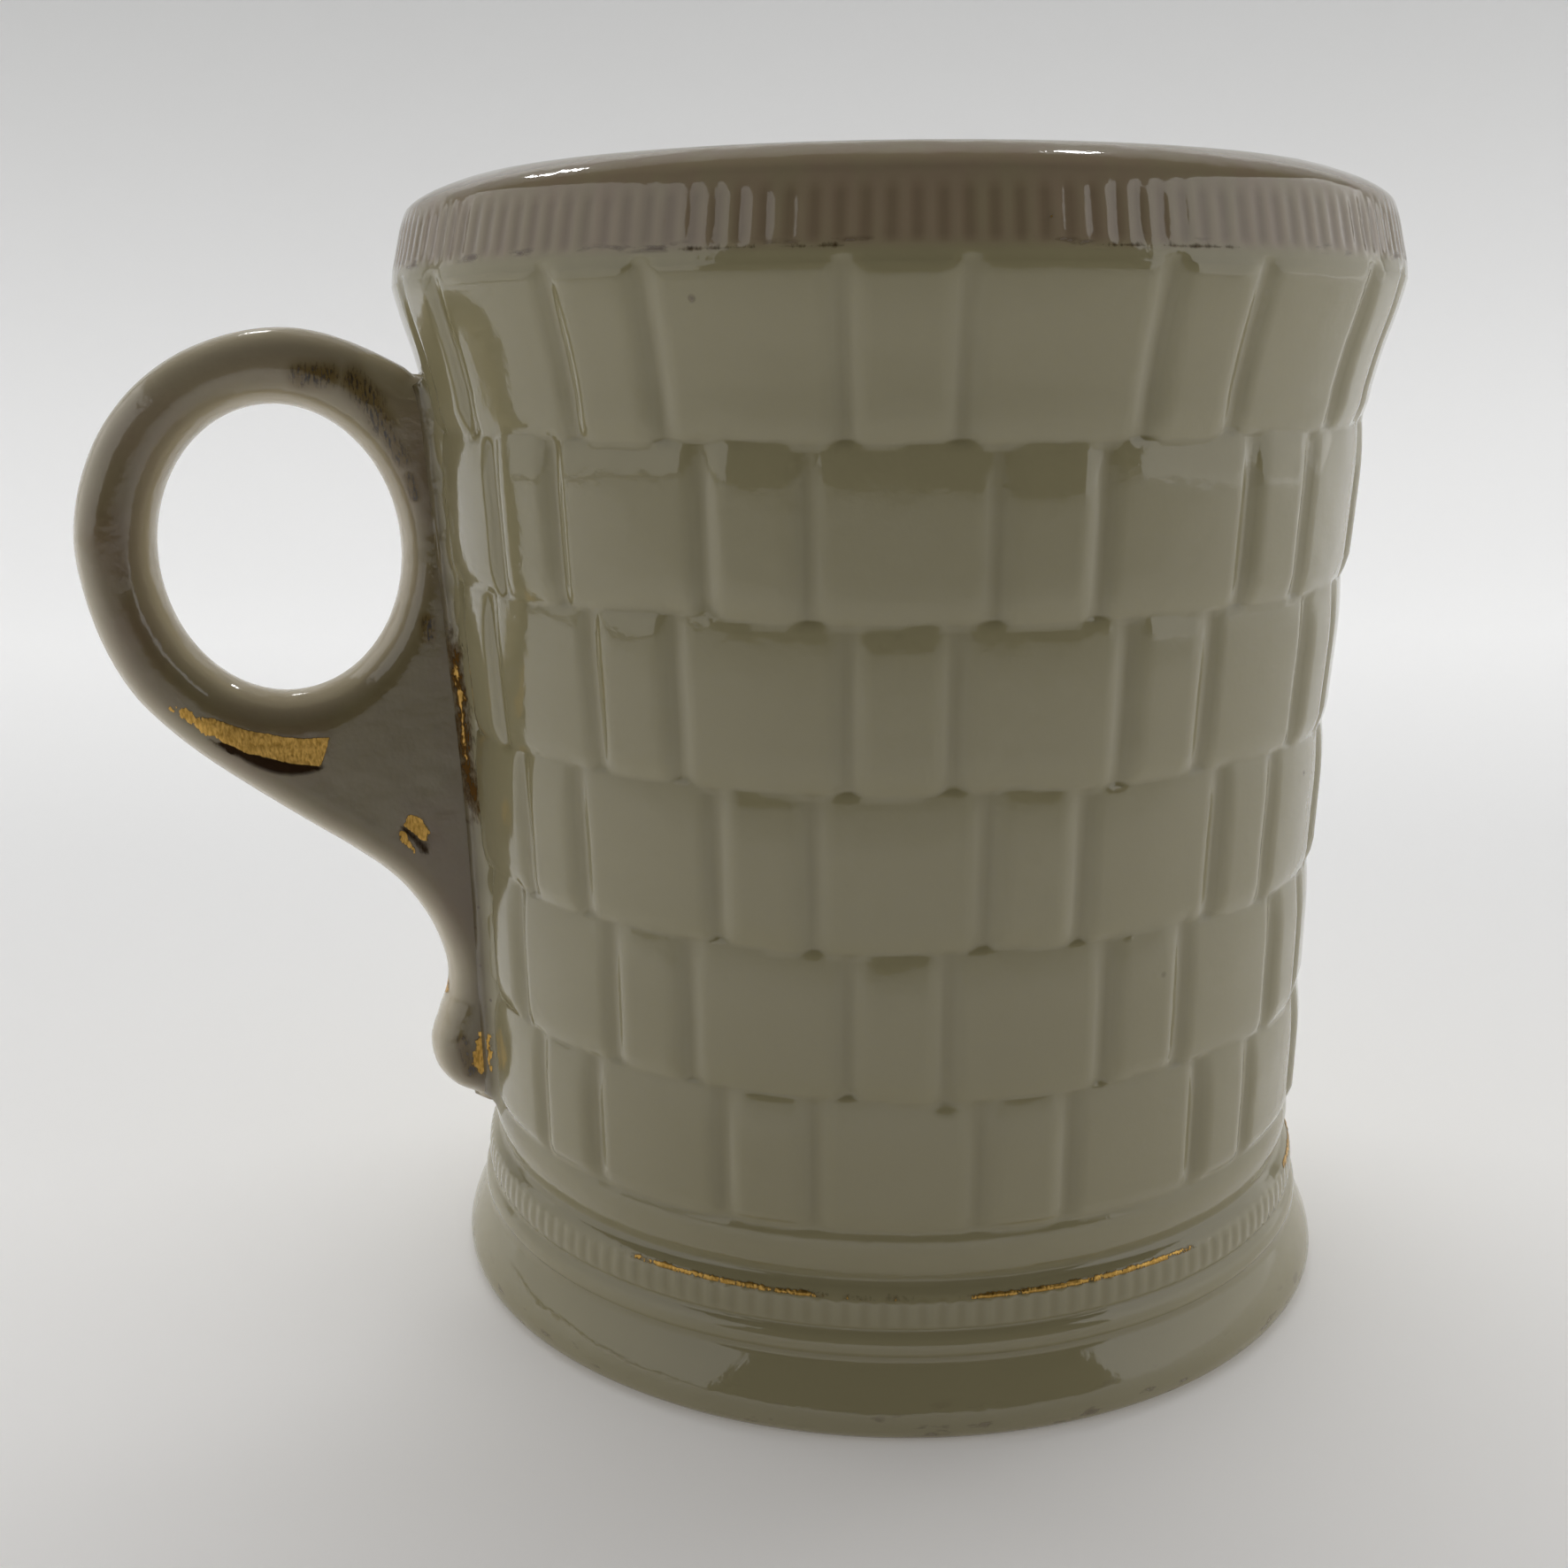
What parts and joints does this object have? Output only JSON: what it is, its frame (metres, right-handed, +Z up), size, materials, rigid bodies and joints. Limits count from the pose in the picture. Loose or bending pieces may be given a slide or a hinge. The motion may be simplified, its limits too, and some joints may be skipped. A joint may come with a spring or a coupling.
{
  "type": "shaving mug",
  "caption": "Flared white-ware shaving mug with basket-weave relief, ribbed bands at lip and foot, and a ring handle with a drop tail, with worn gold traces.",
  "frame": {"origin": "on the mug's axis, in the plane that the foot ring stands on", "axes": "+Z up along the mug's axis, the handle points along -X, and X is the longest extent"},
  "size_m": [0.1119, 0.0854, 0.095],
  "materials": {
    "glazed_body": "clear glossy glaze over cream-white clay",
    "glazed_handle": "clear glossy glaze over cream-white clay, with a faint pink worn lustre",
    "glazed_slip": "glossy glaze pooled over slip",
    "worn_gold": "thin fired bright gold, worn through in places"
  },
  "bodies": {
    "root": {"cup_body": "glazed_body", "handle": "glazed_handle", "luting_slip": "glazed_slip", "rim_gilding": "worn_gold", "foot_gilding": "worn_gold", "handle_gilding": "worn_gold", "seam_gilding": "worn_gold"}
  },
  "joints": []
}
